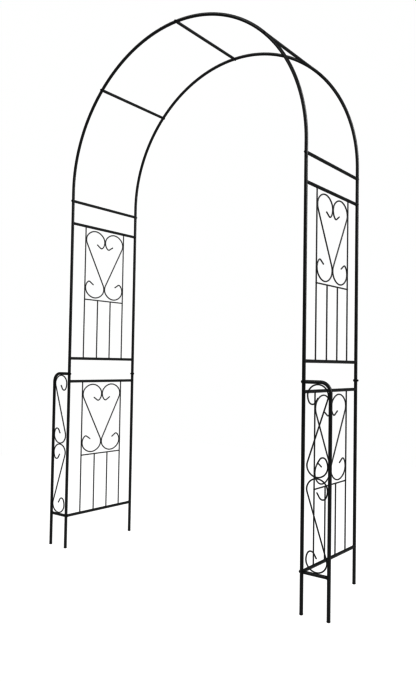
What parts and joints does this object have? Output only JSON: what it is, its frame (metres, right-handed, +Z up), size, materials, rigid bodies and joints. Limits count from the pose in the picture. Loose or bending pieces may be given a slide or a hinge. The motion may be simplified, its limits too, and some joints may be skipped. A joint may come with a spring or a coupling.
{
  "type": "garden trellis arch",
  "caption": "Free-standing round-topped garden arch of black painted steel tube, with scrolled wire side panels and narrow scrolled front wings.",
  "frame": {"origin": "on the ground, in the middle of the footprint", "axes": "+X across the walkway to the right seen from the winged front, +Y through the walkway from front to back, +Z up; each hoop and the outer leg of each wing stand in planes y = -0.219 and y = 0.219 m"},
  "size_m": [1.5414, 0.4572, 2.4063],
  "materials": {
    "painted_tube": "satin black powder coat",
    "painted_wire": "satin black powder coat on drawn wire",
    "black_fasteners": "black button-head bolts and nuts",
    "plated_steel": "zinc plated threaded inserts, hidden in the tube ends",
    "cap_plastic": "soft black moulded end caps"
  },
  "bodies": {
    "root": {"back_left_hoop": "painted_tube", "back_leg_bolts": "black_fasteners", "back_leg_nuts": "black_fasteners", "back_right_hoop": "painted_tube", "cross_bar_bolts": "black_fasteners", "cross_bar_inserts": "plated_steel", "front_left_hoop": "painted_tube", "front_right_hoop": "painted_tube", "left_arch_bar": "painted_tube", "left_lower_back_scroll": "painted_wire", "left_lower_back_upright": "painted_tube", "left_lower_bottom_rail": "painted_tube", "left_lower_cross_wire": "painted_wire", "left_lower_front_scroll": "painted_wire", "left_lower_front_upright": "painted_tube", "left_lower_pickets": "painted_wire", "left_lower_top_rail": "painted_tube", "left_side_bar": "painted_tube", "left_upper_back_scroll": "painted_wire", "left_upper_back_upright": "painted_tube", "left_upper_bottom_rail": "painted_tube", "left_upper_cross_wire": "painted_wire", "left_upper_front_scroll": "painted_wire", "left_upper_front_upright": "painted_tube", "left_upper_pickets": "painted_wire", "left_upper_top_rail": "painted_tube", "left_wing_bottom_bar": "painted_tube", "left_wing_frame": "painted_tube", "left_wing_lower_scroll": "painted_wire", "left_wing_upper_scroll": "painted_wire", "leg_foot_caps": "cap_plastic", "right_arch_bar": "painted_tube", "right_lower_back_scroll": "painted_wire", "right_lower_back_upright": "painted_tube", "right_lower_bottom_rail": "painted_tube", "right_lower_cross_wire": "painted_wire", "right_lower_front_scroll": "painted_wire", "right_lower_front_upright": "painted_tube", "right_lower_pickets": "painted_wire", "right_lower_top_rail": "painted_tube", "right_side_bar": "painted_tube", "right_upper_back_scroll": "painted_wire", "right_upper_back_upright": "painted_tube", "right_upper_bottom_rail": "painted_tube", "right_upper_cross_wire": "painted_wire", "right_upper_front_scroll": "painted_wire", "right_upper_front_upright": "painted_tube", "right_upper_pickets": "painted_wire", "right_upper_top_rail": "painted_tube", "right_wing_bottom_bar": "painted_tube", "right_wing_frame": "painted_tube", "right_wing_lower_scroll": "painted_wire", "right_wing_upper_scroll": "painted_wire", "top_arch_bar": "painted_tube", "wing_bolts": "black_fasteners", "wing_bottom_inserts": "plated_steel", "wing_foot_caps": "cap_plastic", "wing_top_inserts": "plated_steel"}
  },
  "joints": []
}
